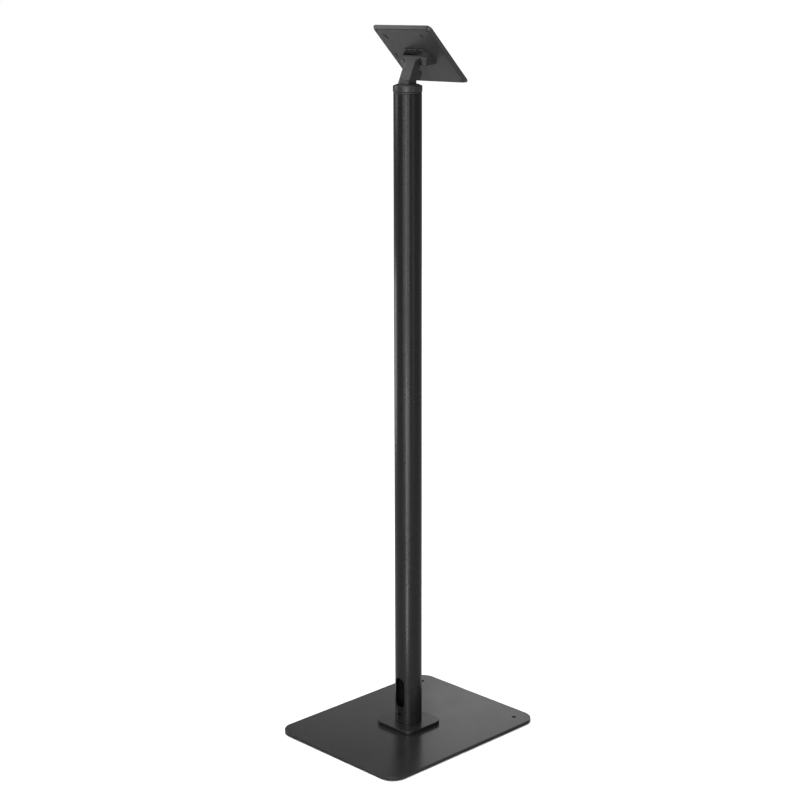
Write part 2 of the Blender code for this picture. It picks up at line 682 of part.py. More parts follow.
def round_outer_edges(cheek, sx):
    """Round every edge of a cheek but those of its foot and its inner face."""
    weights = cheek.data.attributes.new("bevel_weight_edge", "FLOAT", "EDGE")
    for edge in cheek.data.edges:
        a, b = (cheek.data.vertices[i].co for i in edge.vertices)
        inside = max(sx * a.x, sx * b.x) < cheek_inner + 0.0001
        on_foot = max(a.y, b.y) < 0.001
        weights.data[edge.index].value = 0.0 if inside or on_foot else 1.0
    modifier = cheek.modifiers.new("outer_round", "BEVEL")
    modifier.limit_method = "WEIGHT"
    modifier.width = CHEEK_ROUND
    modifier.segments = 2


def tray_screw_frames():
    """Frames of the tray's screws: heads in its front face, shanks to its back."""
    frames = []
    for x in (tray_screw_x, -tray_screw_x):
        for z in (TRAY_SCREW_UP, -TRAY_SCREW_DOWN):
            place = tray_frame @ Matrix.Translation((x, -TRAY_THICK, z))
            frames.append(place @ Matrix.Rotation(math.pi / 2, 4, "X"))
    return frames


def tray_hole(tray, name, outline):
    """Cut an outline right through the tray."""
    through = prism_mesh(outline, -TRAY_THICK - 0.002, 0.002, "Y")
    cut(tray, name, through, tray_frame)


def make_tray():
    """Tray plate: bevelled back edges, corner holes, two slanted slots and a hook slot."""
    full = rounded_rectangle(TRAY_WIDTH, TRAY_HEIGHT, TRAY_CORNER, steps=6)
    small = rounded_rectangle(TRAY_WIDTH - 2 * TRAY_BEVEL, TRAY_HEIGHT - 2 * TRAY_BEVEL,
                              TRAY_CORNER - TRAY_BEVEL, steps=6)
    sections = ((full, -TRAY_THICK), (full, -TRAY_BEVEL), (small, 0.0))
    tray = add_object("tray_plate", loft_mesh(sections), "black_coat", tray_frame)
    for index, (sx, sz) in enumerate(corner_signs(), 1):
        x = sx * (TRAY_WIDTH / 2 - CORNER_HOLE_INSET)
        z = sz * (TRAY_HEIGHT / 2 - CORNER_HOLE_INSET)
        tray_hole(tray, f"corner_hole_{index}", shifted(circle(CORNER_HOLE_RADIUS, 16), x, z))
    for index, (x, z, length) in enumerate(UPPER_SLOTS, 1):
        slot = obround(length, SLOT_BREADTH, steps=6)
        tray_hole(tray, f"upper_slot_{index}", shifted(slot, x, z, -UPPER_SLOT_TURN))
    hook = obround(HOOK_SLOT_LENGTH, HOOK_SLOT_BREADTH, steps=6)
    tray_hole(tray, "hook_slot", shifted(hook, HOOK_SLOT_X, 0.0))
    for index, frame in enumerate(tray_screw_frames(), 1):
        hole = screw_hole(SCREW_M5_RADIUS, SCREW_M5_HEAD_RADIUS, TRAY_SCREW_LENGTH)
        cut(tray, f"tray_screw_hole_{index}", hole, frame)
    return tray


def make_tray_screws():
    """Countersunk screws from the tray's front into the yoke."""
    for index, frame in enumerate(tray_screw_frames(), 1):
        inset = frame @ Matrix.Translation((0.0, 0.0, -CLEAR))
        countersunk_screw(f"tray_screw_{index}", SCREW_M5_RADIUS, SCREW_M5_HEAD_RADIUS,
                          TRAY_SCREW_LENGTH - CLEAR, inset, "steel")


def make_stop_screw():
    """Button-head screw on the yoke's plate, in the gap above the neck."""
    place = tray_frame @ Matrix.Translation((STOP_SCREW_X, 2 * CLEAR + YOKE_PLATE, STOP_SCREW_UP))
    frame = place @ Matrix.Rotation(-math.pi / 2, 4, "X")
    height = STOP_SCREW_HEIGHT
    profile = [(STOP_SCREW_RADIUS, 0.0), (STOP_SCREW_RADIUS, height * 0.6), (STOP_SCREW_RADIUS * 0.7, height)]
    screw = add_object("tilt_stop_screw", solid_of_revolution(profile, HOLE), "dark_steel", frame)
    cut(screw, "stop_socket", prism_mesh(circle(0.0012, 6), height * 0.4, height + 0.001), frame)


clear_scene()
materials = make_materials()
make_base_plate()
make_foot_pads()
make_foot_flange()
make_flange_screws()
make_pole_tube()
make_set_screw()
make_top_insert()
make_swivel_ring()
make_swivel_cap()
make_spindle()
make_neck_bracket()
make_neck_cover()
make_neck_screws()
make_friction_stack()
make_tilt_bolt()
make_yoke()
make_tray()
make_tray_screws()
make_stop_screw()
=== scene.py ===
"""Looks of the kiosk floor stand: fine meshes, painted and bare metals, studio and camera.

Units are metres and +Z is up. The person who uses the kiosk stands on the -Y side.
"""
import json
import math

import bmesh
import bpy
from mathutils import Matrix, Vector


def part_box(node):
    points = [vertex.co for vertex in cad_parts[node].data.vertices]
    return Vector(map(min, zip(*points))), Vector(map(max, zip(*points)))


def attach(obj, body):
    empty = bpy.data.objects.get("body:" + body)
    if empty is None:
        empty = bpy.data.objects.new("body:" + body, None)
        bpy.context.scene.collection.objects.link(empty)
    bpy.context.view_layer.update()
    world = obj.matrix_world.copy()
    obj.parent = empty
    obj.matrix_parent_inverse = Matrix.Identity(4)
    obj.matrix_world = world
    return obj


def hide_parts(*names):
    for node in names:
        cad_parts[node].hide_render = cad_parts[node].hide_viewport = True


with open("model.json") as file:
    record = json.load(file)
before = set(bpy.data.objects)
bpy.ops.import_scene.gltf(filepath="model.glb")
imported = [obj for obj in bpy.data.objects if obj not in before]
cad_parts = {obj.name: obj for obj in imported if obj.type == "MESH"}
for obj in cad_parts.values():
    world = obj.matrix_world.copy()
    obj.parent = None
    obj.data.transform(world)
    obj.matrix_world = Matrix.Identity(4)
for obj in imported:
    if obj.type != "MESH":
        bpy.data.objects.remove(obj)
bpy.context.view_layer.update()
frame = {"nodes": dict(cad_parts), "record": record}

# ---------------------------------------------------------------- sizes that the frame's boxes don't give
CLEAR = 0.0003                 # gap between two pieces that touch
PLAY = 0.0003                  # gap round a screw or an axle
CUT_PAST = 0.002               # how far a cutter reaches past the face that it opens

BASE_CORNER = 0.030
BASE_EDGE = 0.0009
FLOOR_HOLE_RADIUS = 0.004
FLOOR_HOLE_INSET = 0.031

FLANGE_THICK = 0.0065
FLANGE_CORNER = 0.016
FLANGE_EDGE = 0.0008
FLANGE_SCREW_OFFSET = 0.031
SPIGOT_BORE = 0.017

POLE_WALL = 0.002
SLOT_WIDTH = 0.022
SLOT_LENGTH = 0.060
SLOT_RISE = 0.0606             # slot centre above the flange
SET_SCREW_RISE = 0.0179        # grub screw above the flange

SHEET = 0.003                  # gauge of the neck sheet
SPINDLE_GRIP = 0.0075          # depth of the spindle's thread in the cap
CAP_SKIRT = 0.0102
CAP_TOP_RADIUS = 0.0180
CAP_BRIM = 0.0009
CAP_EASE = 0.0006              # half the width of the eased edge round the cap's flat top
CABLE_BORE = 0.0056
NECK_WIDTH = 0.025
NECK_FOOT_Y = 0.0113
NECK_LEAN = math.radians(24.0)
NECK_DEPTH = 0.0150
NECK_HEAD_WIDTH = 0.042
NECK_HEAD_HEIGHT = 0.006
NECK_TOP = 0.0516
NECK_FLARE = 0.006
NECK_WALL_GAP = 0.0054
NECK_WALL_DROP = 0.0015        # the walls end this far below the web's top
NECK_WALL_FRONT = 0.013        # and their front edge this far below the hinge
NECK_NOSE_REAR = 0.004         # where the nose's top meets the straight, behind the hinge
NECK_EDGE = 0.0006
WEB_FOOT = 0.0005              # the web starts this far low, and is trimmed level
TAB_LENGTH = 0.0246
TAB_THICK = 0.0069
NECK_SCREW_X = 0.0052
NECK_SCREW_WEB = 0.0015
TAB_CORNER = 0.003
BORE_RISE = 0.003              # the cable's bore runs this far above the foot block, into the web
COVER_SHEET = 0.002
COVER_DEPTH = 0.0245
COVER_TOP = 0.0340
COVER_CHAMFER = 0.004
COVER_CORNER = 0.002

HINGE_RISE = 0.0474
HINGE_DEPTH = 0.0116
HINGE_BOLT_RADIUS = 0.004
HINGE_NOSE_RADIUS = 0.0080
HINGE_STANDOFF = 0.0120
HINGE_ABOVE_CENTRE = 0.0010
CHEEK_THICK = 0.0095
CHEEK_ROUND = 0.0014
CHEEK_BLIND = 0.0030
CHEEK_INNER_SOFTNESS = 0.25    # round of the inner edges, as a share of the outer edges' round
AXLE_SHORT = 0.0006            # the axle ends this far inside the open cheek
AXLE_CHAMFER = 0.0006
AXLE_SOCKET_RADIUS = 0.0023
AXLE_SOCKET_DEPTH = 0.004
YOKE_PLATE = 0.0025
YOKE_MARGIN = 0.002            # of the plate beside each cheek's inner face
YOKE_CORNER = 0.003
YOKE_TOP = 0.0182
YOKE_BOTTOM = 0.0165
YOKE_FOOT_STEP = 0.0004        # the cheeks stand this far off the plate's seat

TRAY_WIDTH = 0.1414
TRAY_HEIGHT = 0.1375
TRAY_THICK = 0.0058
TRAY_BEVEL = 0.0043
TRAY_CORNER = 0.0085
TRAY_GROOVE = 0.0009           # width of the line between the back face and its bevel
TRAY_GROOVE_DEPTH = 0.0007
TRAY_EDGE = 0.0006
SLOT_BREADTH = 0.0046          # of the tray's two upper slots
UPPER_SLOT_TURN = math.radians(29.0)
UPPER_SLOTS = ((0.0475, 0.0455, 0.0149), (-0.0410, 0.0475, 0.0100))   # across, up, length
HOOK_SLOT_X = 0.055
HOOK_SLOT_LENGTH = 0.0115
HOOK_SLOT_BREADTH = 0.00345
CORNER_HOLE_INSET = 0.0087
CORNER_HOLE_RADIUS = 0.0018
TRAY_SCREW_UP = 0.006
TRAY_SCREW_DOWN = 0.009
TRAY_SCREW_LENGTH = 0.011
STOP_SCREW_RADIUS = 0.0030
STOP_SCREW_HEIGHT = 0.0035
STOP_SCREW_X = -0.008
STOP_SCREW_UP = 0.0149
STOP_SCREW_RIM = 0.35          # share of the head's height that is straight
STOP_SOCKET_RADIUS = 0.0011

M4, M5, M8 = 0.002, 0.0025, 0.004   # shank radii
HEADS = {M4: 0.0038, M5: 0.005, M8: 0.008}   # radii of the countersunk heads
HEAD_RIM = 0.0004              # straight edge of a countersunk head
HEAD_CHAMFER = 0.00012
SCREW_TIP = 0.2                # chamfer of a screw's tip, as a share of its radius
SOCKET_SHARE = 0.6             # hexagon socket: its radius and depth against shank and head
LEAD_IN_SHARES = (0.55, 0.72)  # radii of the socket's lead-in against the shank
LEAD_IN = 0.0002
FOOT_SCREW_LENGTH = 0.010
SET_SCREW_LENGTH = 0.008
SET_SCREW_SUNK = 0.0010        # below the column's surface
SET_SCREW_TIP = 0.3            # chamfer of its tip, as a share of its radius
SET_SCREW_RIM = 0.0003
SET_SOCKET_SHARE = 0.57
SET_SOCKET_DEPTH = 0.0035
SMALL_ROUND = 0.0005           # edges of pads, rings, cap and yoke plate

SIDES = 160                    # of the column and the cap
RING_SIDES = 96                # of washers and spindle parts
SCREW_SIDES = 64
HOLE_SIDES = 48
SHARP_SCREW = 30.0             # edges sharper than these many degrees stay hard
SHARP_RING = 35.0
SHARP_PAD = 50.0
FLARE_STEPS = 12
CORNERS = ((1, 1), (-1, 1), (-1, -1), (1, -1))   # signs of a rectangle's corners, in order

# ---------------------------------------------------------------- places, from the frame
plate_low, plate_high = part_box("base_plate")
flange_low, flange_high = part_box("foot_flange")
pole_low, pole_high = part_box("pole_tube")
ring_low, ring_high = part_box("swivel_ring")
cap_low, cap_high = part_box("swivel_cap")

flange_side = flange_high.x - flange_low.x
flange_top = flange_low.z + FLANGE_THICK
pole_radius = pole_high.x
pole_inner = pole_radius - POLE_WALL
slot_z = flange_top + SLOT_RISE
set_screw_z = flange_top + SET_SCREW_RISE
neck_bottom = cap_high.z + CLEAR
socket_top = cap_low.z + SPINDLE_GRIP
tab_top = neck_bottom + TAB_THICK
neck_screw_length = tab_top - socket_top - NECK_SCREW_WEB

neck_frame = (Matrix.Translation((0.0, NECK_FOOT_Y, neck_bottom))
              @ Matrix.Rotation(NECK_LEAN, 4, "X"))
hinge_point = neck_frame @ Vector((0.0, -HINGE_DEPTH, HINGE_RISE))
tray_face = next(m for m in frame["record"]["mounts"] if m["name"] == "tray_face")
tray_lean = math.atan2(-tray_face["axis"][2], -tray_face["axis"][1])
# In the tray's own frame +Y points out of its back and +Z points up its slope.
tray_frame = (Matrix.Translation(hinge_point) @ Matrix.Rotation(tray_lean, 4, "X")
              @ Matrix.Translation((0.0, -HINGE_STANDOFF, -HINGE_ABOVE_CENTRE)))
cheek_inner = NECK_HEAD_WIDTH / 2 + 0.001
cheek_outer = cheek_inner + CHEEK_THICK
tray_screw_x = (cheek_inner + cheek_outer) / 2
axle_frame = Matrix.Translation(hinge_point) @ Matrix.Rotation(math.pi / 2, 4, "Y")


# ---------------------------------------------------------------- outlines
def circle(radius, sides=HOLE_SIDES):
    """Outline of a round hole."""
    steps = (2 * math.pi * k / sides for k in range(sides))
    return [(radius * math.cos(a), radius * math.sin(a)) for a in steps]


def arc(centre, radius, start, end, steps):
    """Points along an arc, its angles in degrees."""
    angles = (math.radians(start + (end - start) * k / steps) for k in range(steps + 1))
    return [(centre[0] + radius * math.cos(a), centre[1] + radius * math.sin(a)) for a in angles]


def rounded_rectangle(width, depth, radius, steps=16):
    """Outline of a rectangle with round corners, centred on the origin."""
    points = []
    for quarter, (sx, sy) in enumerate(CORNERS):
        centre = (sx * (width / 2 - radius), sy * (depth / 2 - radius))
        points += arc(centre, radius, 90 * quarter, 90 * quarter + 90, steps)
    return points


def obround(length, width, steps=16):
    """Outline of a slot along the second axis, with round ends."""
    radius = width / 2
    straight = length / 2 - radius
    return arc((0, straight), radius, 0, 180, steps) + arc((0, -straight), radius, 180, 360, steps)


def shifted(outline, across, along, angle=0.0):
    """An outline turned and moved in its own plane."""
    c, s = math.cos(angle), math.sin(angle)
    return [(across + c * a - s * b, along + s * a + c * b) for a, b in outline]


# ---------------------------------------------------------------- meshes
def solid(name, bm, place=None):
    """An object from a bmesh, its place put into its points."""
    bmesh.ops.recalc_face_normals(bm, faces=bm.faces[:])
    mesh = bpy.data.meshes.new(name)
    bm.to_mesh(mesh)
    bm.free()
    if place is not None:
        mesh.transform(place)
    mesh.shade_smooth()
    obj = bpy.data.objects.new(name, mesh)
    bpy.context.scene.collection.objects.link(obj)
    return obj


def lofted(sections, axis="Z"):
    """Closed body through outlines of equal count, each given with its place along an axis."""
    order = {"X": (2, 0, 1), "Y": (0, 2, 1), "Z": (0, 1, 2)}[axis]
    bm = bmesh.new()
    loops = []
    for outline, end in sections:
        points = [(a, b, end) for a, b in outline]
        loops.append([bm.verts.new([point[k] for k in order]) for point in points])
    bm.faces.new(loops[0])
    bm.faces.new(loops[-1])
    for lower, upper in zip(loops, loops[1:]):
        for i in range(len(lower)):
            j = (i + 1) % len(lower)
            bm.faces.new((lower[i], lower[j], upper[j], upper[i]))
    return bm


def prism(outline, low, high, axis="Z"):
    """Closed prism over an outline."""
    return lofted(((outline, low), (outline, high)), axis)


def turned(profile, sides, hollow=True):
    """Body turned about Z from (radius, height) points.

    It is a closed ring, or, if not hollow, a solid given from its bottom to its top.
    """
    bm = bmesh.new()
    angles = [2 * math.pi * k / sides for k in range(sides)]
    loops = [[bm.verts.new((r * math.cos(a), r * math.sin(a), z)) for a in angles]
             for r, z in profile]
    pairs = list(zip(loops, loops[1:]))
    if hollow:
        pairs.append((loops[-1], loops[0]))
    else:
        bm.faces.new(loops[0])
        bm.faces.new(loops[-1])
    for lower, upper in pairs:
        for k in range(sides):
            j = (k + 1) % sides
            bm.faces.new((lower[k], lower[j], upper[j], upper[k]))
    return bm


def settle(obj):
    """Put an object's modifiers into its mesh."""
    graph = bpy.context.evaluated_depsgraph_get()
    mesh = bpy.data.meshes.new_from_object(obj.evaluated_get(graph), depsgraph=graph)
    obj.modifiers.clear()
    obj.data = mesh
    return obj


def combine(obj, operation, *others):
    """Boolean obj with other objects, which are used up."""
    for other in others:
        modifier = obj.modifiers.new("boolean", "BOOLEAN")
        modifier.operation = operation
        modifier.solver = "EXACT"
        modifier.object = other
    settle(obj)
    for other in others:
        bpy.data.objects.remove(other, do_unlink=True)
    return obj


def keep_sharp(obj, angle):
    """Keep the edges sharper than an angle, in degrees, as hard edges."""
    obj.data.set_sharp_from_angle(angle=math.radians(angle))


def flat_normals(obj, angle):
    """Mark the edges sharper than an angle and let broad faces set the shading of the rest."""
    keep_sharp(obj, angle)
    normals = obj.modifiers.new("normals", "WEIGHTED_NORMAL")
    normals.weight = 100
    normals.keep_sharp = True
    return settle(obj)


def round_edges(obj, width, segments=3, angle=35.0):
    """Round an object's sharp edges and keep its broad faces flat."""
    bevel = obj.modifiers.new("round", "BEVEL")
    bevel.width = width
    bevel.segments = segments
    bevel.limit_method = "ANGLE"
    bevel.angle_limit = math.radians(angle)
    normals = obj.modifiers.new("normals", "WEIGHTED_NORMAL")
    normals.weight = 100
    return settle(obj)


def piece(obj, body, slot, material, *nodes):
    """Hand an object over as the look of CAD nodes that ride on a body."""
    obj.data.materials.clear()
    obj.data.materials.append(material)
    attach(obj, body)
    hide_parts(*nodes)
    return obj


# ---------------------------------------------------------------- materials
class Nodes:
    """A new Principled material and short ways to add nodes to it."""

    def __init__(self, name):
        self.material = bpy.data.materials.new(name)
        self.material.use_nodes = True
        self.tree = self.material.node_tree
        self.shader = self.tree.nodes["Principled BSDF"]
        self.place = self.tree.nodes.new("ShaderNodeTexCoord").outputs["Object"]

    def add(self, kind, inputs=(), **settings):
        node = self.tree.nodes.new("ShaderNode" + kind)
        for key, value in settings.items():
            setattr(node, key, value)
        for key, value in dict(inputs).items():
            if isinstance(value, bpy.types.NodeSocket):
                self.tree.links.new(value, node.inputs[key])
            else:
                node.inputs[key].default_value = value
        return node

    def link(self, output, name):
        self.tree.links.new(output, self.shader.inputs[name])

    def noise(self, scale, detail=2.0, stretch=None):
        """Noise between 0 and 1; scale is in cells per metre."""
        place = self.place
        if stretch:
            place = self.add("Mapping", {"Vector": place, "Scale": stretch}).outputs["Vector"]
        inputs = {"Vector": place, "Scale": scale, "Detail": detail}
        return self.add("TexNoise", inputs).outputs["Fac"]

    def ranged(self, value, low, high, start=0.3, end=0.7):
        """A value spread over a new range."""
        inputs = {"Value": value, "From Min": start, "From Max": end, "To Min": low, "To Max": high}
        return self.add("MapRange", inputs).outputs["Result"]

    def mixed(self, factor, first, second):
        """A colour between two greys or colours."""
        mix = self.add("Mix", {"Factor": factor}, data_type="RGBA")
        for socket, colour in zip((mix.inputs[6], mix.inputs[7]), (first, second)):
            if isinstance(colour, bpy.types.NodeSocket):
                self.tree.links.new(colour, socket)
            else:
                socket.default_value = (*colour, 1.0)
        return mix.outputs[2]

    def edges(self, radius):
        """A mask that is 1 on sharp edges and 0 on flat faces."""
        soft = self.add("Bevel", {"Radius": radius}, samples=4).outputs["Normal"]
        true = self.add("NewGeometry").outputs["Normal"]
        dot = self.add("VectorMath", {0: soft, 1: true}, operation="DOT_PRODUCT").outputs["Value"]
        return self.ranged(dot, 1.0, 0.0, 0.86, 0.995)

    def bump(self, height, strength, distance):
        node = self.add("Bump", {"Height": height, "Strength": strength, "Distance": distance})
        self.link(node.outputs["Normal"], "Normal")


def grey(value):
    """A neutral colour."""
    return (value, value, value)


def coat(name, shade, roughness, grain=1400.0, peel=0.20, ior=1.45, drawn=0.0):
    """Powder coat: fine orange peel, faint mottling, and a painted highlight that makes the edges a
    little lighter.

    drawn adds faint long waves along Z, as on a drawn tube.
    """
    made = Nodes(name)
    mottle = made.noise(90.0, 3.0)
    colour = made.mixed(made.ranged(mottle, 0.0, 1.0), grey(shade * 0.88), grey(shade * 1.12))
    # painted highlight: sharp edges get a lighter base colour
    painted_edge_highlight = made.add("Math", {0: made.edges(0.0006), 1: 0.35}, operation="MULTIPLY").outputs["Value"]
    made.link(made.mixed(painted_edge_highlight, colour, grey(shade * 1.8 + 0.004)), "Base Color")
    haze = made.noise(14.0, 4.0)
    made.link(made.ranged(haze, roughness - 0.03, roughness + 0.03), "Roughness")
    made.shader.inputs["IOR"].default_value = ior
    height = made.noise(grain, 1.0)
    if drawn:
        waves = made.noise(60.0, 2.0, (1.0, 1.0, 0.02))
        scaled = made.add("Math", {0: waves, 1: drawn, 2: height}, operation="MULTIPLY_ADD")
        height = scaled.outputs["Value"]
    made.bump(height, peel, 0.00006)
    return made.material


def bare_metal(name, colour, roughness, grain=(1.0, 1.0, 1.0)):
    """Plated or blackened steel with fine tool marks."""
    made = Nodes(name)
    marks = made.noise(900.0, 3.0, grain)
    dark = tuple(c * 0.8 for c in colour)
    made.link(made.mixed(made.ranged(marks, 0.0, 1.0), dark, colour), "Base Color")
    made.link(made.ranged(made.noise(120.0, 3.0), roughness - 0.07, roughness + 0.07), "Roughness")
    made.shader.inputs["Metallic"].default_value = 1.0
    made.bump(marks, 0.12, 0.00004)
    return made.material


def moulded(name, shade, roughness, grain, strength):
    """Rubber or nylon with a fine matt grain."""
    made = Nodes(name)
    speck = made.noise(grain, 3.0)
    colour = made.mixed(made.ranged(speck, 0.0, 1.0), grey(shade * 0.8), grey(shade * 1.25))
    made.link(colour, "Base Color")
    made.link(made.ranged(made.noise(40.0, 2.0), roughness - 0.05, roughness + 0.05), "Roughness")
    made.bump(speck, strength, 0.0001)
    return made.material


plate_coat = coat("plate_coat", 0.011, 0.24, peel=0.10, ior=1.42)
flange_coat = coat("flange_coat", 0.009, 0.30, peel=0.10, ior=1.40)
pole_coat = coat("pole_coat", 0.009, 0.28, peel=0.06, ior=1.40, drawn=0.4)
cap_coat = coat("cap_coat", 0.030, 0.32, ior=1.45)
neck_coat = coat("neck_coat", 0.036, 0.42, ior=1.42)
yoke_coat = coat("yoke_coat", 0.042, 0.38, ior=1.45)
tray_coat = coat("tray_coat", 0.034, 0.30, ior=1.46)
rubber = moulded("rubber", 0.020, 0.80, 700.0, 0.5)
nylon = moulded("nylon", 0.022, 0.55, 1200.0, 0.25)
aluminium = bare_metal("aluminium", (0.60, 0.60, 0.61), 0.38, (1.0, 1.0, 6.0))
steel = bare_metal("steel", (0.50, 0.50, 0.51), 0.32)
dark_steel = bare_metal("dark_steel", (0.055, 0.055, 0.058), 0.38)
finishes = {"rubber": rubber, "nylon": nylon, "aluminium": aluminium, "steel": steel,
            "dark_steel": dark_steel}


# ---------------------------------------------------------------- screws and rings
def countersunk(name, shank, length, place, body, slot):
    """Flush socket screw: its head's top is at the place's origin and its shank runs to -Z."""
    head = HEADS[shank]
    cone = head - shank
    tip = shank * SCREW_TIP
    profile = [(shank - tip, -length), (shank, tip - length), (shank, -HEAD_RIM - cone),
               (head, -HEAD_RIM), (head, -HEAD_CHAMFER), (head - HEAD_CHAMFER, 0.0)]
    screw = solid(name, turned(profile, SCREW_SIDES, hollow=False), place)
    socket = circle(shank * SOCKET_SHARE, 6)
    hexagon = solid("hexagon", prism(socket, -cone * SOCKET_SHARE, CUT_PAST), place)
    lead_in = [(shank * LEAD_IN_SHARES[0], -LEAD_IN), (shank * LEAD_IN_SHARES[1], LEAD_IN)]
    chamfer = solid("lead_in", turned(lead_in, SCREW_SIDES, hollow=False), place)
    combine(screw, "DIFFERENCE", hexagon, chamfer)
    keep_sharp(screw, SHARP_SCREW)
    return piece(screw, body, slot, finishes[slot], name)


def screw_hole(shank, length, place):
    """Cutter for a countersunk screw, with play all round."""
    head = HEADS[shank]
    profile = [(shank + PLAY, -length - PLAY), (shank + PLAY, -HEAD_RIM - head + shank - PLAY),
               (head + PLAY, -HEAD_RIM - PLAY), (head + PLAY, CUT_PAST)]
    return solid("screw_hole", turned(profile, SCREW_SIDES, hollow=False), place)


def ring_profile(inner, outer, low, high, edge):
    """Ring section with small round edges on its outside."""
    return [(inner, low), *arc((outer - edge, low + edge), edge, -90, 0, 4),
            *arc((outer - edge, high - edge), edge, 0, 90, 4), (inner, high)]


def ring(name, profile, sides, body, slot, place=None):
    """Turned ring as the look of one node."""
    obj = solid(name, turned(profile, sides), place)
    keep_sharp(obj, SHARP_RING)
    return piece(obj, body, slot, finishes[slot], name)


# ---------------------------------------------------------------- foot
def flange_screw_places():
    """Foot screws: heads in the plate's underside, shanks up into the flange."""
    turn = Matrix.Rotation(math.pi, 4, "X")
    z = plate_low.z + CLEAR
    return [Matrix.Translation((sx * FLANGE_SCREW_OFFSET, sy * FLANGE_SCREW_OFFSET, z)) @ turn
            for sx, sy in CORNERS]


def make_plate():
    """Steel plate with rounded edges and two floor holes."""
    width, depth = plate_high.x - plate_low.x, plate_high.y - plate_low.y
    outline = rounded_rectangle(width, depth, BASE_CORNER, steps=28)
    plate = solid("plate", prism(outline, plate_low.z, plate_high.z))
    holes = [screw_hole(M8, FOOT_SCREW_LENGTH, place) for place in flange_screw_places()]
    for sx in (-1, 1):
        spot = shifted(circle(FLOOR_HOLE_RADIUS), sx * (plate_high.x - FLOOR_HOLE_INSET),
                       plate_low.y + FLOOR_HOLE_INSET)
        hole = prism(spot, plate_low.z - CUT_PAST, plate_high.z + CUT_PAST)
        holes.append(solid("floor_hole", hole))
    combine(plate, "DIFFERENCE", *holes)
    round_edges(plate, BASE_EDGE, segments=4)
    piece(plate, "root", "plate_coat", plate_coat, "base_plate")


def make_pads():
    """Rubber pads with a soft edge."""
    for index in range(1, 5):
        low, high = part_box(f"foot_pad_{index}")
        radius = (high.x - low.x) / 2
        profile = [(radius - SMALL_ROUND, low.z), (radius, low.z + SMALL_ROUND), (radius, high.z)]
        place = Matrix.Translation(((low.x + high.x) / 2, (low.y + high.y) / 2, 0.0))
        pad = solid(f"pad_{index}", turned(profile, SCREW_SIDES, hollow=False), place)
        keep_sharp(pad, SHARP_PAD)
        piece(pad, "root", "rubber", rubber, f"foot_pad_{index}")


def set_screw_frame():
    """Frame whose +Z leaves the column at the grub screw."""
    return Matrix.Translation((0.0, 0.0, set_screw_z)) @ Matrix.Rotation(-math.pi / 2, 4, "X")


def set_screw_hole():
    """Cutter for the grub screw."""
    bore = prism(circle(M8 + PLAY), SPIGOT_BORE - CUT_PAST, pole_radius + CUT_PAST)
    return solid("set_screw_hole", bore, set_screw_frame())


def make_flange():
    """Square flange with soft edges and the spigot inside the column."""
    outline = rounded_rectangle(flange_side, flange_side, FLANGE_CORNER)
    flange = solid("flange", prism(outline, flange_low.z, flange_top))
    round_edges(flange, FLANGE_EDGE, segments=5)
    spigot = prism(circle(pole_inner - PLAY, SIDES), (flange_low.z + flange_top) / 2, flange_high.z)
    combine(flange, "UNION", solid("spigot", spigot))
    bore = prism(circle(SPIGOT_BORE, RING_SIDES), flange_low.z - CUT_PAST, flange_high.z + CUT_PAST)
    holes = [screw_hole(M8, FOOT_SCREW_LENGTH, place) for place in flange_screw_places()]
    combine(flange, "DIFFERENCE", solid("bore", bore), set_screw_hole(), *holes)
    flat_normals(flange, 40.0)
    piece(flange, "root", "flange_coat", flange_coat, "foot_flange")


def make_pole():
    """Column with a rounded cable slot and the grub screw's hole."""
    profile = [(pole_inner, pole_low.z), (pole_radius, pole_low.z), (pole_radius, pole_high.z),
               (pole_inner, pole_high.z)]
    pole = solid("pole", turned(profile, SIDES))
    rear = Matrix.Translation((0.0, 0.0, slot_z)) @ Matrix.Rotation(-math.pi / 2, 4, "X")
    opening = prism(obround(SLOT_LENGTH, SLOT_WIDTH), SPIGOT_BORE, pole_radius + CUT_PAST)
    slot = solid("slot", opening, rear)
    combine(pole, "DIFFERENCE", slot, set_screw_hole())
    round_edges(pole, 0.0004, segments=2)
    piece(pole, "root", "pole_coat", pole_coat, "pole_tube")


def make_set_screw():
    """Grub screw with its hexagon socket."""
    outer = pole_radius - SET_SCREW_SUNK
    inner = outer - SET_SCREW_LENGTH
    tip = M8 * SET_SCREW_TIP
    profile = [(M8 - tip, inner), (M8, inner + tip), (M8, outer - SET_SCREW_RIM),
               (M8 - SET_SCREW_RIM, outer)]
    screw = solid("set_screw", turned(profile, SCREW_SIDES, hollow=False), set_screw_frame())
    socket = prism(circle(M8 * SET_SOCKET_SHARE, 6), outer - SET_SOCKET_DEPTH, outer + CUT_PAST)
    combine(screw, "DIFFERENCE", solid("socket", socket, set_screw_frame()))
    keep_sharp(screw, SHARP_SCREW)
    piece(screw, "root", "dark_steel", dark_steel, "pole_set_screw")


def make_foot():
    """Everything that stands on the floor, up to the thrust ring."""
    make_plate()
    make_pads()
    make_flange()
    for index, place in enumerate(flange_screw_places(), 1):
        countersunk(f"flange_screw_{index}", M8, FOOT_SCREW_LENGTH, place, "root", "steel")
    make_pole()
    make_set_screw()
    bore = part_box("swivel_spindle")[1].x + PLAY
    profile = ring_profile(bore, ring_high.x, ring_low.z, ring_high.z, SMALL_ROUND)
    ring("swivel_ring", profile, SIDES, "root", "nylon")


# ---------------------------------------------------------------- swivel head
def neck_screw_places():
    """The two screws in the neck's foot block, heads up."""
    y = NECK_FOOT_Y - TAB_LENGTH + HEADS[M4] + PLAY * 2
    return [Matrix.Translation((sx * NECK_SCREW_X, y, tab_top)) for sx in (-1, 1)]


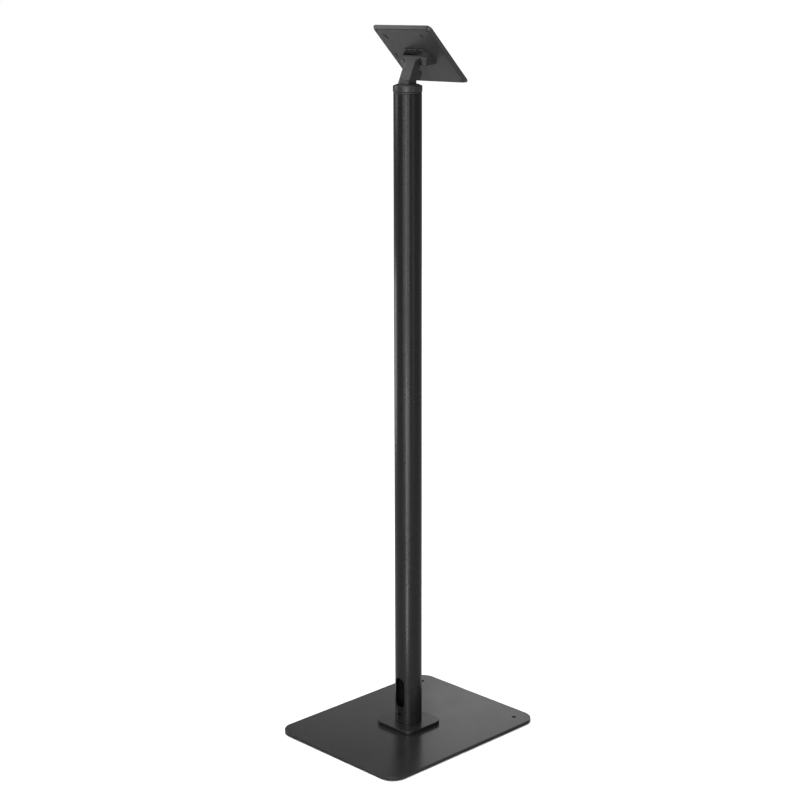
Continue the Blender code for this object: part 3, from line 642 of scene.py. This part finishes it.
def make_cap():
    """Turned cap: straight skirt, rolled brim and a sloping shoulder."""
    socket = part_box("swivel_spindle")[1].x + PLAY
    radius = cap_high.x
    shoulder = cap_low.z + CAP_SKIRT
    slope = math.degrees(math.atan2(cap_high.z - shoulder, radius - CAP_TOP_RADIUS))
    profile = [(CABLE_BORE, socket_top), (socket, socket_top), (socket, cap_low.z)]
    profile += arc((radius - SMALL_ROUND, cap_low.z + SMALL_ROUND), SMALL_ROUND, -90, 0, 4)
    profile += arc((radius - CAP_BRIM, shoulder - CAP_BRIM / 2), CAP_BRIM, 0, 90 - slope, 6)
    profile += [(CAP_TOP_RADIUS + CAP_EASE, cap_high.z - CAP_EASE / 3),
                (CAP_TOP_RADIUS - CAP_EASE, cap_high.z), (CABLE_BORE, cap_high.z)]
    cap = solid("cap", turned(profile, SIDES))
    holes = [screw_hole(M4, neck_screw_length, place) for place in neck_screw_places()]
    combine(cap, "DIFFERENCE", *holes)
    keep_sharp(cap, SHARP_RING)
    piece(cap, "head", "cap_coat", cap_coat, "swivel_cap")


def neck_wall_outline():
    """Side view of a neck wall: (along -Y, along Z), with a nose round the hinge."""
    rise = NECK_WALL_GAP / math.cos(NECK_LEAN)
    slope = math.tan(NECK_LEAN)
    nose = arc((-HINGE_DEPTH, HINGE_RISE), HINGE_NOSE_RADIUS, 240, 135, 14)
    top = NECK_TOP - NECK_WALL_DROP
    front = [(0.0, rise), (-NECK_DEPTH, rise + NECK_DEPTH * slope),
             (-NECK_DEPTH, HINGE_RISE - NECK_WALL_FRONT)]
    return front + nose + [(NECK_NOSE_REAR - HINGE_DEPTH, top), (0.0, top)]


def neck_web_outline():
    """Rear view of the neck: a straight web that flares into the wide head."""
    half = NECK_WIDTH / 2
    head = NECK_HEAD_WIDTH / 2
    head_low = NECK_TOP - NECK_HEAD_HEIGHT
    flare = [(half + NECK_FLARE * (1 - math.cos(a)), head_low - NECK_FLARE * (1 - math.sin(a)))
             for a in (math.radians(90 * k / FLARE_STEPS) for k in range(FLARE_STEPS + 1))]
    right = [(half, -WEB_FOOT)] + flare + [(head, head_low), (head, NECK_TOP)]
    return right + [(-x, z) for x, z in reversed(right)]


def make_neck():
    """Neck with its walls, head and foot block."""
    half = NECK_WIDTH / 2
    neck = solid("neck", prism(neck_web_outline(), -SHEET, 0.0, "Y"), neck_frame)
    walls = []
    for sx in (-1, 1):
        low, high = sorted((sx * half, sx * (half - SHEET)))
        walls.append(solid("wall", prism(neck_wall_outline(), low, high, "X"), neck_frame))
    tab = rounded_rectangle(NECK_WIDTH - 2 * COVER_SHEET - 2 * CLEAR, TAB_LENGTH, TAB_CORNER, steps=8)
    tab = shifted(tab, 0.0, NECK_FOOT_Y - TAB_LENGTH / 2)
    combine(neck, "UNION", *walls, solid("tab", prism(tab, neck_bottom, tab_top)))
    disc = circle(2 * NECK_WIDTH)
    below = solid("below", prism(disc, neck_bottom - NECK_WIDTH, neck_bottom))
    bore = solid("bore", prism(circle(CABLE_BORE), neck_bottom - CUT_PAST, tab_top + BORE_RISE))
    axle = prism(circle(HINGE_BOLT_RADIUS + PLAY), -NECK_HEAD_WIDTH, NECK_HEAD_WIDTH)
    axle = solid("axle", axle, axle_frame)
    holes = [screw_hole(M4, neck_screw_length, place) for place in neck_screw_places()]
    combine(neck, "DIFFERENCE", below, bore, axle, *holes)
    round_edges(neck, NECK_EDGE, segments=3)
    piece(neck, "head", "neck_coat", neck_coat, "neck_bracket")


def make_neck_cover():
    """Front half of the neck channel."""
    half = NECK_WIDTH / 2
    slope = math.tan(NECK_LEAN)
    low = NECK_WALL_GAP / math.cos(NECK_LEAN)
    rear = NECK_DEPTH + CLEAR
    shoulder = COVER_TOP - COVER_CHAMFER
    outline = [(-rear, low + rear * slope), (-COVER_DEPTH, low + COVER_DEPTH * slope),
               (-COVER_DEPTH, shoulder), (COVER_CHAMFER - COVER_DEPTH, COVER_TOP), (-rear, shoulder)]
    cover = solid("cover", prism(outline, -half, half, "X"), neck_frame)
    width, depth = NECK_WIDTH - 2 * COVER_SHEET, 2 * (COVER_DEPTH - COVER_SHEET)
    inside = prism(rounded_rectangle(width, depth, COVER_CORNER, steps=8), -COVER_TOP, 2 * COVER_TOP)
    combine(cover, "DIFFERENCE", solid("inside", inside, neck_frame))
    round_edges(cover, SMALL_ROUND, segments=3)
    piece(cover, "head", "neck_coat", neck_coat, "neck_cover")


def make_head():
    """Cap, neck and the washers that turn with the column's top."""
    make_cap()
    make_neck()
    make_neck_cover()
    for index, place in enumerate(neck_screw_places(), 1):
        sunk = place @ Matrix.Translation((0.0, 0.0, -CLEAR))
        countersunk(f"neck_screw_{index}", M4, neck_screw_length - CLEAR, sunk, "head", "steel")


# ---------------------------------------------------------------- friction hinge
def hinge_ring(kind, body, slot):
    """Both washers of one kind, rounded, from the boxes of their nodes."""
    for side in ("left", "right"):
        name = f"{kind}_{side}"
        low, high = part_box(name)
        radius = (high.z - low.z) / 2
        near, far = sorted((abs(low.x), abs(high.x)))
        edge = min(SMALL_ROUND, (far - near) / 4)
        profile = ring_profile(HINGE_BOLT_RADIUS + PLAY, radius, near, far, edge)
        place = axle_frame if side == "left" else axle_frame @ Matrix.Rotation(math.pi, 4, "X")
        ring(name, profile, RING_SIDES, body, slot, place)


def axle_reach():
    """Ends of the axle: flush in the open cheek, short of the blind one's face."""
    return -(cheek_outer - CHEEK_BLIND), cheek_outer - AXLE_SHORT


def make_axle():
    """Headless bolt through the neck."""
    low, high = axle_reach()
    radius, chamfered = HINGE_BOLT_RADIUS, HINGE_BOLT_RADIUS - AXLE_CHAMFER
    profile = [(chamfered, low), (radius, low + AXLE_CHAMFER), (radius, high - AXLE_CHAMFER),
               (chamfered, high)]
    bolt = solid("axle_bolt", turned(profile, RING_SIDES, hollow=False), axle_frame)
    socket = prism(circle(AXLE_SOCKET_RADIUS, 6), high - AXLE_SOCKET_DEPTH, high + CUT_PAST)
    combine(bolt, "DIFFERENCE", solid("socket", socket, axle_frame))
    keep_sharp(bolt, SHARP_SCREW)
    piece(bolt, "tray", "dark_steel", dark_steel, "tilt_bolt")


# ---------------------------------------------------------------- yoke and tray
def cheek(sx):
    """Thick cast cheek, its top falling away outwards."""
    foot = CLEAR + YOKE_FOOT_STEP
    axle = HINGE_STANDOFF
    inner = [(foot, 0.0150), (axle + 0.0025, 0.0130), (axle + 0.0055, 0.0050),
             (axle + 0.0110, -0.0025), (axle + 0.0040, -0.0080), (0.0020, -0.0175), (foot, -0.0175)]
    outer = [(foot, 0.0075), (axle - 0.0010, 0.0065), (axle + 0.0035, 0.0050),
             (axle + 0.0110, -0.0017), (axle + 0.0035, -0.0070), (0.0018, -0.0170), (foot, -0.0170)]
    body = solid("cheek", lofted(((inner, sx * cheek_inner), (outer, sx * cheek_outer)), "X"))
    weights = body.data.attributes.new("bevel_weight_edge", "FLOAT", "EDGE")
    for edge in body.data.edges:
        a, b = (body.data.vertices[i].co for i in edge.vertices)
        if max(a.y, b.y) < 2 * foot:
            weight = 0.0
        elif max(sx * a.x, sx * b.x) < cheek_inner + CLEAR:
            weight = CHEEK_INNER_SOFTNESS
        else:
            weight = 1.0
        weights.data[edge.index].value = weight
    bevel = body.modifiers.new("round", "BEVEL")
    bevel.limit_method = "WEIGHT"
    bevel.width = CHEEK_ROUND
    bevel.segments = 5
    settle(body)
    body.data.transform(tray_frame)
    return body


def make_yoke():
    """Cast yoke: its plate, two cheeks, the axle's bore and four threads."""
    plate = rounded_rectangle(2 * (cheek_inner + YOKE_MARGIN), YOKE_TOP + YOKE_BOTTOM, YOKE_CORNER)
    plate = shifted(plate, 0.0, (YOKE_TOP - YOKE_BOTTOM) / 2)
    yoke = solid("yoke", prism(plate, CLEAR, CLEAR + YOKE_PLATE, "Y"), tray_frame)
    round_edges(yoke, SMALL_ROUND, segments=3)
    combine(yoke, "UNION", cheek(1), cheek(-1))
    low, high = axle_reach()
    bore = prism(circle(HINGE_BOLT_RADIUS + PLAY), low - CLEAR, cheek_outer + CUT_PAST)
    holes = [screw_hole(M5, TRAY_SCREW_LENGTH, place) for place in tray_screw_places()]
    combine(yoke, "DIFFERENCE", solid("bore", bore, axle_frame), *holes)
    flat_normals(yoke, 35.0)
    piece(yoke, "tray", "yoke_coat", yoke_coat, "tilt_yoke")


def tray_screw_places():
    """The tray's screws: heads in its front face, shanks to its back."""
    turn = Matrix.Rotation(math.pi / 2, 4, "X")
    return [tray_frame @ Matrix.Translation((x, -TRAY_THICK, z)) @ turn
            for x in (tray_screw_x, -tray_screw_x) for z in (TRAY_SCREW_UP, -TRAY_SCREW_DOWN)]


def tray_cut(outline):
    """Cutter through the tray."""
    return solid("tray_cut", prism(outline, -TRAY_THICK - CUT_PAST, CUT_PAST, "Y"), tray_frame)


def tray_groove():
    """Cutter for the fine line between the tray's back face and its bevel."""
    width, height = TRAY_WIDTH - 2 * TRAY_BEVEL, TRAY_HEIGHT - 2 * TRAY_BEVEL
    corner = TRAY_CORNER - TRAY_BEVEL
    outer = prism(rounded_rectangle(width, height, corner), -TRAY_GROOVE_DEPTH, CUT_PAST / 2, "Y")
    inset = 2 * TRAY_GROOVE
    island = rounded_rectangle(width - inset, height - inset, corner - TRAY_GROOVE)
    island = prism(island, -CUT_PAST, CUT_PAST, "Y")
    return combine(solid("groove", outer, tray_frame), "DIFFERENCE",
                   solid("island", island, tray_frame))


def make_tray():
    """Tray with bevelled back edges, corner holes, two slanted slots and a hook slot."""
    full = rounded_rectangle(TRAY_WIDTH, TRAY_HEIGHT, TRAY_CORNER)
    small = rounded_rectangle(TRAY_WIDTH - 2 * TRAY_BEVEL, TRAY_HEIGHT - 2 * TRAY_BEVEL,
                              TRAY_CORNER - TRAY_BEVEL)
    sections = ((full, -TRAY_THICK), (full, -TRAY_BEVEL), (small, 0.0))
    tray = solid("tray", lofted(sections, "Y"), tray_frame)
    round_edges(tray, TRAY_EDGE, segments=3, angle=30.0)
    cuts = [screw_hole(M5, TRAY_SCREW_LENGTH, place) for place in tray_screw_places()]
    for sx, sz in CORNERS:
        x = sx * (TRAY_WIDTH / 2 - CORNER_HOLE_INSET)
        z = sz * (TRAY_HEIGHT / 2 - CORNER_HOLE_INSET)
        cuts.append(tray_cut(shifted(circle(CORNER_HOLE_RADIUS), x, z)))
    for x, z, length in UPPER_SLOTS:
        cuts.append(tray_cut(shifted(obround(length, SLOT_BREADTH), x, z, -UPPER_SLOT_TURN)))
    cuts.append(tray_cut(shifted(obround(HOOK_SLOT_LENGTH, HOOK_SLOT_BREADTH), HOOK_SLOT_X, 0.0)))
    combine(tray, "DIFFERENCE", tray_groove(), *cuts)
    flat_normals(tray, 28.0)
    piece(tray, "tray", "tray_coat", tray_coat, "tray_plate")


def make_stop_screw():
    """Button-head screw above the neck."""
    place = tray_frame @ Matrix.Translation((STOP_SCREW_X, 2 * CLEAR + YOKE_PLATE, STOP_SCREW_UP))
    place = place @ Matrix.Rotation(-math.pi / 2, 4, "X")
    base = STOP_SCREW_HEIGHT * STOP_SCREW_RIM
    dome = [(STOP_SCREW_RADIUS * math.cos(a), base + (STOP_SCREW_HEIGHT - base) * math.sin(a))
            for a in (math.radians(9 * k) for k in range(9))]
    profile = [(STOP_SCREW_RADIUS, 0.0), *dome]
    screw = solid("stop_screw", turned(profile, SCREW_SIDES, hollow=False), place)
    socket = prism(circle(STOP_SOCKET_RADIUS, 6), base, STOP_SCREW_HEIGHT + CUT_PAST)
    combine(screw, "DIFFERENCE", solid("socket", socket, place))
    keep_sharp(screw, SHARP_SCREW)
    piece(screw, "tray", "dark_steel", dark_steel, "tilt_stop_screw")


def make_tray_parts():
    """Everything that tilts."""
    make_yoke()
    make_tray()
    make_axle()
    make_stop_screw()
    for index, place in enumerate(tray_screw_places(), 1):
        sunk = place @ Matrix.Translation((0.0, 0.0, -CLEAR))
        countersunk(f"tray_screw_{index}", M5, TRAY_SCREW_LENGTH - CLEAR, sunk, "tray", "steel")


def paint_kept_nodes():
    """Finishes for the CAD nodes that stay as they are, inside the column's top."""
    kept = {"top_insert": "aluminium", "swivel_spindle": "steel", "spindle_washer": "steel",
            "spindle_nut": "steel"}
    for node, slot in kept.items():
        obj = frame["nodes"][node]
        obj.data.materials.clear()
        obj.data.materials.append(finishes[slot])


make_foot()
make_head()
hinge_ring("inner_washer", "head", "nylon")
hinge_ring("friction_disc", "tray", "dark_steel")
hinge_ring("spring_disc", "tray", "dark_steel")
make_tray_parts()
paint_kept_nodes()


# ---------------------------------------------------------------- studio
ROOM_LIGHT = 0.05
FLOOR_BOUNCE = 0.30            # grey of the floor in reflections
SUN_POWER = 3.6
SUN_SPREAD = math.radians(60.0)
SENSOR = 36.0                  # millimetres
LENS = 75.91
CAMERA_PLACE = Vector((-2.1040, 2.0856, 1.3425))
CAMERA_PITCH = 76.574          # degrees; 90 looks level
CAMERA_ROLL = 0.145
CAMERA_HEADING = -134.501

view_out = Vector((CAMERA_PLACE.x, CAMERA_PLACE.y, 0.0)).normalized()   # from stand to camera
view_left = Vector((view_out.y, -view_out.x, 0.0))                      # to the picture's left


def aimed(obj, target):
    """Turn a lamp or camera towards a point."""
    obj.rotation_euler = (Vector(target) - obj.location).to_track_quat("-Z", "Y").to_euler()


def softbox(name, place, target, width, height, power):
    """Large soft lamp that the camera doesn't see."""
    lamp = bpy.data.lights.new(name, "AREA")
    lamp.shape = "RECTANGLE"
    lamp.size, lamp.size_y = width, height
    lamp.energy = power
    obj = bpy.data.objects.new(name, lamp)
    bpy.context.scene.collection.objects.link(obj)
    obj.location = place
    aimed(obj, target)
    obj.visible_camera = False
    return obj


def make_floor():
    """Plain pale floor, white to the camera and dimmer in reflections."""
    bm = bmesh.new()
    bmesh.ops.create_grid(bm, x_segments=1, y_segments=1, size=30.0)
    floor = solid("floor", bm)
    made = Nodes("floor_paper")
    paper = made.mixed(made.noise(3.0), grey(0.90), grey(0.92))
    rays = made.add("LightPath").outputs["Is Camera Ray"]
    made.link(made.mixed(rays, grey(FLOOR_BOUNCE), paper), "Base Color")
    made.shader.inputs["Roughness"].default_value = 0.9
    made.shader.inputs["Specular IOR Level"].default_value = 0.1
    floor.data.materials.append(made.material)


def make_world():
    """White backdrop for the camera, a dimmer studio for everything else."""
    world = bpy.data.worlds.new("studio")
    bpy.context.scene.world = world
    world.use_nodes = True
    nodes, links = world.node_tree.nodes, world.node_tree.links
    seen = nodes["Background"]
    seen.inputs["Color"].default_value = (1.0, 1.0, 1.0, 1.0)
    seen.inputs["Strength"].default_value = 1.0
    room = nodes.new("ShaderNodeBackground")
    room.inputs["Color"].default_value = (1.0, 1.0, 1.0, 1.0)
    room.inputs["Strength"].default_value = ROOM_LIGHT
    rays = nodes.new("ShaderNodeLightPath")
    mix = nodes.new("ShaderNodeMixShader")
    links.new(rays.outputs["Is Camera Ray"], mix.inputs["Fac"])
    links.new(room.outputs["Background"], mix.inputs[1])
    links.new(seen.outputs["Background"], mix.inputs[2])
    links.new(mix.outputs["Shader"], nodes["World Output"].inputs["Surface"])


def make_sun():
    """Overhead light that whitens the floor evenly."""
    lamp = bpy.data.lights.new("overhead", "SUN")
    lamp.energy = SUN_POWER
    lamp.angle = SUN_SPREAD
    obj = bpy.data.objects.new("overhead", lamp)
    bpy.context.scene.collection.objects.link(obj)


def make_camera():
    """Camera behind and to one side of the stand, looking down a little."""
    camera = bpy.data.objects.new("camera", bpy.data.cameras.new("camera"))
    bpy.context.scene.collection.objects.link(camera)
    camera.data.sensor_width = SENSOR
    camera.data.lens = LENS
    camera.location = CAMERA_PLACE
    turn = (CAMERA_PITCH, CAMERA_ROLL, CAMERA_HEADING)
    camera.rotation_euler = [math.radians(angle) for angle in turn]
    bpy.context.scene.camera = camera


def at(bearing, reach, height):
    """A point round the stand; the bearing is in degrees, from the camera to the picture's left."""
    angle = math.radians(bearing)
    out, left = reach * math.cos(angle), reach * math.sin(angle)
    return view_out * out + view_left * left + Vector((0.0, 0.0, height))


# Name, bearing, reach, height, height it aims at, width, height of its face, watts.
# The watts of strip_left, the low strips and foot_strip are set one by one. The other watts come
# from a least-squares fit to the photograph's greys, which also chose the lamps it gave them to.
SOFTBOXES = (
    ("high_back_left", 120, 2.2, 2.6, 1.10, 0.9, 0.9, 17.4),
    ("head_left", 100, 1.4, 1.35, 1.20, 0.6, 0.6, 3.8),
    ("strip_far_left", 32, 2.2, 1.0, 0.80, 0.3, 2.4, 8.5),
    ("strip_left", 14, 2.2, 1.0, 0.80, 0.3, 2.4, 17.0),
    ("strip_centre", -4, 2.2, 1.0, 0.80, 0.3, 2.4, 10.6),
    ("strip_right", -45, 2.2, 1.0, 0.80, 0.3, 2.4, 3.5),
    ("low_strip_left", 12, 0.9, 0.25, 0.25, 0.14, 0.50, 1.7),
    ("low_strip_centre", -4, 0.9, 0.25, 0.25, 0.10, 0.50, 0.6),
    ("foot_strip", 10, 0.42, 0.08, 0.08, 0.08, 0.16, 0.3),
    ("low_back_left", 120, 1.0, 0.5, 0.05, 0.5, 0.5, 2.0),
    ("low_back", 180, 2.2, 0.6, 0.50, 0.9, 0.9, 1.6),
    ("low_back_right", -165, 1.0, 0.5, 0.05, 0.5, 0.5, 0.6),
)

make_floor()
make_world()
make_sun()
for name, bearing, reach, height, aim, width, tall, watts in SOFTBOXES:
    softbox(name, at(bearing, reach, height), (0.0, 0.0, aim), width, tall, watts)
make_camera()
bpy.context.scene.view_settings.view_transform = "Standard"
